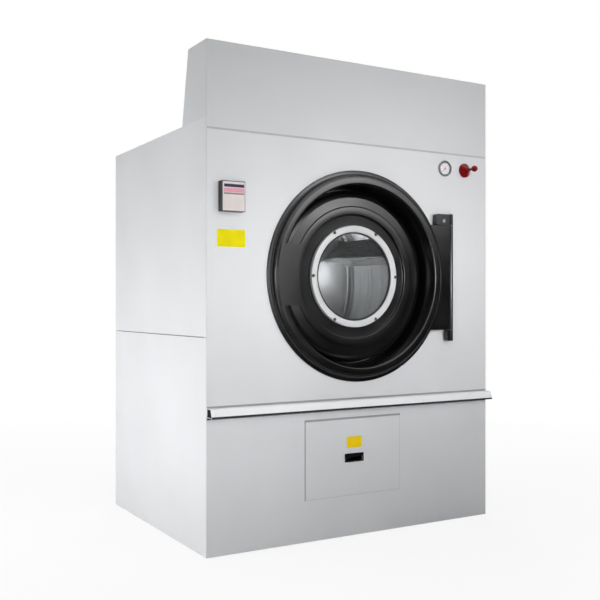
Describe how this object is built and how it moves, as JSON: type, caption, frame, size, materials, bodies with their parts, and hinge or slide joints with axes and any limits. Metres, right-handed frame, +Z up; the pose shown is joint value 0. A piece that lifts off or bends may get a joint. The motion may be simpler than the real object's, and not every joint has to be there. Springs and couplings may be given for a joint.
{
  "type": "industrial tumble dryer",
  "caption": "Large front-loading tumble dryer with a round black door, tall header, lint drawer, belt-driven drum, rear exhaust fan and roof steam heater.",
  "frame": {"origin": "middle of the footprint box on the floor, under the cabinet", "axes": "+X to the right seen from the front, the door faces -Y, +Z up"},
  "size_m": [1.56, 1.356, 2.2],
  "materials": {
    "panel_paint": "satin powder coat",
    "ledge_paint": "satin powder coat",
    "frame_paint": "matt primer",
    "black_enamel": "semi-gloss enamel",
    "cast_paint": "matt cast iron",
    "machine_paint": "semi-gloss enamel",
    "zinc_sheet": "zinc coated sheet",
    "stainless": "brushed stainless steel",
    "shaft_steel": "turned steel",
    "pin_steel": "bright steel",
    "pipe_steel": "matt steel",
    "screen_steel": "woven wire",
    "copper_coil": "copper tube and fins",
    "dark_metal": "dark plated steel",
    "ring_metal": "bright satin ring",
    "box_paint": "dark enamel",
    "keypad_film": "printed film",
    "black_plastic": "moulded plastic",
    "red_plastic": "gloss moulding",
    "clear_glass": "clear",
    "seal_rubber": "grey rubber",
    "belt_rubber": "black rubber"
  },
  "bodies": {
    "cabinet": {"base_frame": "frame_paint", "corner_posts": "frame_paint", "frame_rails": "frame_paint", "side_panels": "panel_paint", "rear_panels": "panel_paint", "roof_panel": "panel_paint", "front_panel": "panel_paint", "lower_front_panel": "panel_paint", "header_shell": "panel_paint", "ledge_rail": "ledge_paint", "mouth_ring": "black_enamel", "rear_bulkhead": "zinc_sheet", "air_baffles": "zinc_sheet", "bearing_beams": "frame_paint", "bearing_blocks": "cast_paint", "gearbox": "machine_paint", "drive_motor": "machine_paint", "motor_stands": "frame_paint", "drive_belt": "belt_rubber", "lint_shelf": "zinc_sheet", "lint_chamber": "zinc_sheet", "fan_housing": "zinc_sheet", "fan_motor": "machine_paint", "exhaust_duct": "zinc_sheet", "exhaust_spigot": "zinc_sheet", "heater_casing": "zinc_sheet", "heater_coil": "copper_coil", "steam_pipes": "pipe_steel", "intake_louvre": "zinc_sheet", "control_box": "box_paint", "control_keypad": "keypad_film", "thermometer_body": "dark_metal", "thermometer_glass": "clear_glass", "stop_base": "red_plastic", "hinge_brackets": "black_enamel", "hinge_pin": "pin_steel", "electrical_plate": "zinc_sheet", "contactors": "black_plastic", "cable_gland": "black_plastic", "door_catch": "pin_steel"},
    "door": {"door_shell": "black_enamel", "door_dish": "black_enamel", "door_seals": "seal_rubber", "window_ring": "ring_metal", "window_screws": "dark_metal", "window_glass": "clear_glass", "door_handle": "black_enamel", "hinge_plate": "black_enamel"},
    "drum": {"drum_shell": "stainless", "drum_lifters": "stainless", "drum_spider": "shaft_steel", "drum_pulley": "cast_paint"},
    "motor_pulley": {"drive_pulley": "cast_paint"},
    "fan_wheel": {"fan_impeller": "zinc_sheet"},
    "lint_drawer": {"drawer_front": "panel_paint", "drawer_tray": "zinc_sheet", "lint_screen": "screen_steel", "drawer_pull": "black_plastic"},
    "needle": {"thermometer_needle": "black_plastic"},
    "stop_button": {"stop_plunger": "red_plastic"}
  },
  "joints": [
    {"name": "door_hinge", "type": "hinge", "parent": "cabinet", "child": "door", "pos_m": [0.527, -0.614, 1.207], "axis": [0, 0, 1], "range_deg": [0, 168]},
    {"name": "drum_spin", "type": "hinge", "parent": "cabinet", "child": "drum", "pos_m": [0, -0.066, 1.207], "axis": [0, 1, 0], "continuous": true},
    {"name": "motor_pulley_spin", "type": "hinge", "parent": "cabinet", "child": "motor_pulley", "pos_m": [0.43, 0.474, 0.33], "axis": [0, 1, 0], "continuous": true},
    {"name": "fan_spin", "type": "hinge", "parent": "cabinet", "child": "fan_wheel", "pos_m": [-0.08, 0.234, 0.31], "axis": [0, 1, 0], "continuous": true},
    {"name": "drawer_slide", "type": "slide", "parent": "cabinet", "child": "lint_drawer", "axis": [0, -1, 0], "range_m": [0, 0.45]},
    {"name": "needle_turn", "type": "hinge", "parent": "cabinet", "child": "needle", "pos_m": [0.51, -0.592, 1.749], "axis": [0, 1, 0], "range_deg": [0, 270]},
    {"name": "stop_press", "type": "slide", "parent": "cabinet", "child": "stop_button", "axis": [0, 1, 0], "range_m": [0, 0.008], "stiffness_N_per_m": 900, "springref_m": -0.004}
  ],
  "couplings": [
    {"joint": "motor_pulley_spin", "follows": "drum_spin", "ratio": 6}
  ]
}
